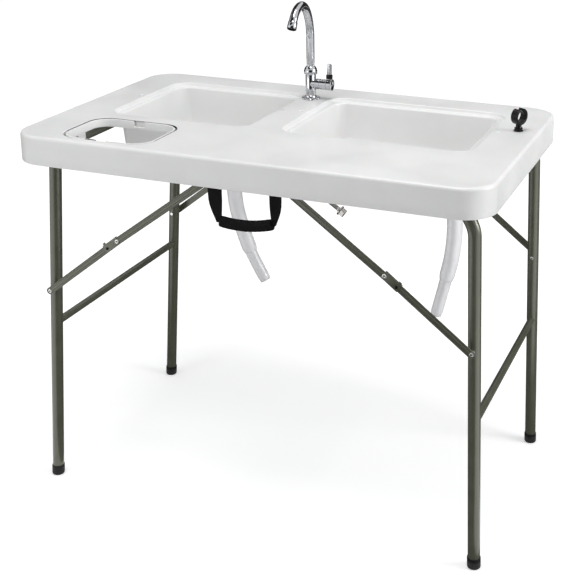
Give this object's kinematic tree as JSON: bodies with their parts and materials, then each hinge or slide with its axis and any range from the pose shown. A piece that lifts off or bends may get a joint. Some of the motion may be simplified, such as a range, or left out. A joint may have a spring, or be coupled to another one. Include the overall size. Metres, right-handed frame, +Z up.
{
  "type": "folding camping sink table",
  "caption": "Folding moulded table with two basins, a waste opening, a faucet and a hose clip on two splayed tube leg frames with knee braces.",
  "frame": {"origin": "centre of the floor under the table, midway between the four feet", "axes": "+Z up, +X along the table's length towards the large basin's end, -Y towards the user at the front"},
  "size_m": [1.1475, 0.7, 1.1701],
  "materials": {
    "white_plastic": "satin moulded polyethylene",
    "olive_paint": "semi-gloss powder coat on steel tube",
    "zinc_steel": "zinc plated",
    "chrome": "polished",
    "brass": "plain machined",
    "black_plastic": "satin",
    "black_rubber": "matt",
    "black_webbing": "woven",
    "pale_hose": "soft translucent",
    "braid": "braided sleeve"
  },
  "bodies": {
    "table": {"table_top": "white_plastic", "left_basin": "white_plastic", "right_basin": "white_plastic", "left_drain": "white_plastic", "right_drain": "white_plastic", "left_drain_nut": "white_plastic", "right_drain_nut": "white_plastic", "left_drain_hose": "pale_hose", "right_drain_hose": "pale_hose", "faucet_flange": "chrome", "faucet_body": "chrome", "faucet_locknut": "brass", "spout_dome_nut": "chrome", "hose_clip": "black_plastic", "supply_coupling": "brass", "supply_hose": "braid", "supply_connector": "brass", "left_front_saddle": "zinc_steel", "left_rear_saddle": "zinc_steel", "right_front_saddle": "zinc_steel", "right_rear_saddle": "zinc_steel", "left_front_brace_bracket": "zinc_steel", "left_rear_brace_bracket": "zinc_steel", "right_front_brace_bracket": "zinc_steel", "right_rear_brace_bracket": "zinc_steel"},
    "left_leg": {"left_leg_frame": "olive_paint", "left_cross_bar": "olive_paint", "left_front_foot": "black_rubber", "left_rear_foot": "black_rubber", "left_front_leg_rivet": "zinc_steel", "left_rear_leg_rivet": "zinc_steel"},
    "left_upper_links": {"left_front_upper_link": "olive_paint", "left_rear_upper_link": "olive_paint", "left_front_knee_rivet": "zinc_steel", "left_rear_knee_rivet": "zinc_steel"},
    "left_lower_links": {"left_front_lower_link": "olive_paint", "left_rear_lower_link": "olive_paint"},
    "left_front_button": {"left_front_lock_button": "zinc_steel"},
    "left_rear_button": {"left_rear_lock_button": "zinc_steel"},
    "right_leg": {"right_leg_frame": "olive_paint", "right_cross_bar": "olive_paint", "right_front_foot": "black_rubber", "right_rear_foot": "black_rubber", "right_front_leg_rivet": "zinc_steel", "right_rear_leg_rivet": "zinc_steel"},
    "right_upper_links": {"right_front_upper_link": "olive_paint", "right_rear_upper_link": "olive_paint", "right_front_knee_rivet": "zinc_steel", "right_rear_knee_rivet": "zinc_steel"},
    "right_lower_links": {"right_front_lower_link": "olive_paint", "right_rear_lower_link": "olive_paint"},
    "right_front_button": {"right_front_lock_button": "zinc_steel"},
    "right_rear_button": {"right_rear_lock_button": "zinc_steel"},
    "waste_ring": {"waste_ring": "white_plastic"},
    "spout": {"spout": "chrome", "spout_aerator": "chrome"},
    "lever": {"faucet_lever": "chrome", "lever_sleeve": "black_plastic"},
    "handle": {"carry_strap": "black_webbing", "carry_grip": "black_webbing"}
  },
  "joints": [
    {"name": "left_leg_fold", "type": "hinge", "parent": "table", "child": "left_leg", "pos_m": [-0.478, 0, 0.88], "axis": [0, -1, 0], "range_deg": [0, 95.19], "deforming": ["left_drain_hose", "supply_hose"]},
    {"name": "left_brace_swing", "type": "hinge", "parent": "table", "child": "left_upper_links", "pos_m": [-0.0227, 0, 0.897], "axis": [0, 1, 0], "range_deg": [0, 34.6]},
    {"name": "left_knee", "type": "hinge", "parent": "left_upper_links", "child": "left_lower_links", "pos_m": [-0.3105, 0, 0.6858], "axis": [0, -1, 0], "range_deg": [0, 175.3]},
    {"name": "right_leg_fold", "type": "hinge", "parent": "table", "child": "right_leg", "pos_m": [0.478, 0, 0.88], "axis": [0, 1, 0], "range_deg": [0, 92.92], "deforming": ["supply_hose", "supply_connector"]},
    {"name": "right_brace_swing", "type": "hinge", "parent": "table", "child": "right_upper_links", "pos_m": [0.1007, 0, 0.869], "axis": [0, -1, 0], "range_deg": [0, 32.7]},
    {"name": "right_knee", "type": "hinge", "parent": "right_upper_links", "child": "right_lower_links", "pos_m": [0.33509, 0, 0.69884], "axis": [0, 1, 0], "range_deg": [0, 173.3]},
    {"name": "spout_swivel", "type": "hinge", "parent": "table", "child": "spout", "pos_m": [-0.054, 0.218, 0.9832], "axis": [0, 0, 1], "range_deg": [-180, 180]},
    {"name": "faucet_lever_turn", "type": "hinge", "parent": "table", "child": "lever", "pos_m": [-0.01, 0.218, 0.959], "axis": [1, 0, 0], "range_deg": [0, 90]},
    {"name": "waste_ring_lift", "type": "slide", "parent": "table", "child": "waste_ring", "axis": [0, 0, 1], "range_m": [0, 0.04]},
    {"name": "handle_swing", "type": "hinge", "parent": "table", "child": "handle", "pos_m": [0.025, -0.338, 0.852], "axis": [-1, 0, 0], "range_deg": [-10, 90]},
    {"name": "left_front_button_press", "type": "slide", "parent": "left_upper_links", "child": "left_front_button", "axis": [0, 1, 0], "range_m": [0, 0.002], "stiffness_N_per_m": 800, "springref_m": -0.002},
    {"name": "left_rear_button_press", "type": "slide", "parent": "left_upper_links", "child": "left_rear_button", "axis": [0, -1, 0], "range_m": [0, 0.002], "stiffness_N_per_m": 800, "springref_m": -0.002},
    {"name": "right_front_button_press", "type": "slide", "parent": "right_upper_links", "child": "right_front_button", "axis": [0, 1, 0], "range_m": [0, 0.002], "stiffness_N_per_m": 800, "springref_m": -0.002},
    {"name": "right_rear_button_press", "type": "slide", "parent": "right_upper_links", "child": "right_rear_button", "axis": [0, -1, 0], "range_m": [0, 0.002], "stiffness_N_per_m": 800, "springref_m": -0.002}
  ],
  "couplings": [
    {"joint": "left_brace_swing", "follows": "left_leg_fold", "ratio": 0.36123},
    {"joint": "left_knee", "follows": "left_leg_fold", "ratio": 1.8403},
    {"joint": "right_brace_swing", "follows": "right_leg_fold", "ratio": 0.34966},
    {"joint": "right_knee", "follows": "right_leg_fold", "ratio": 1.8628}
  ]
}
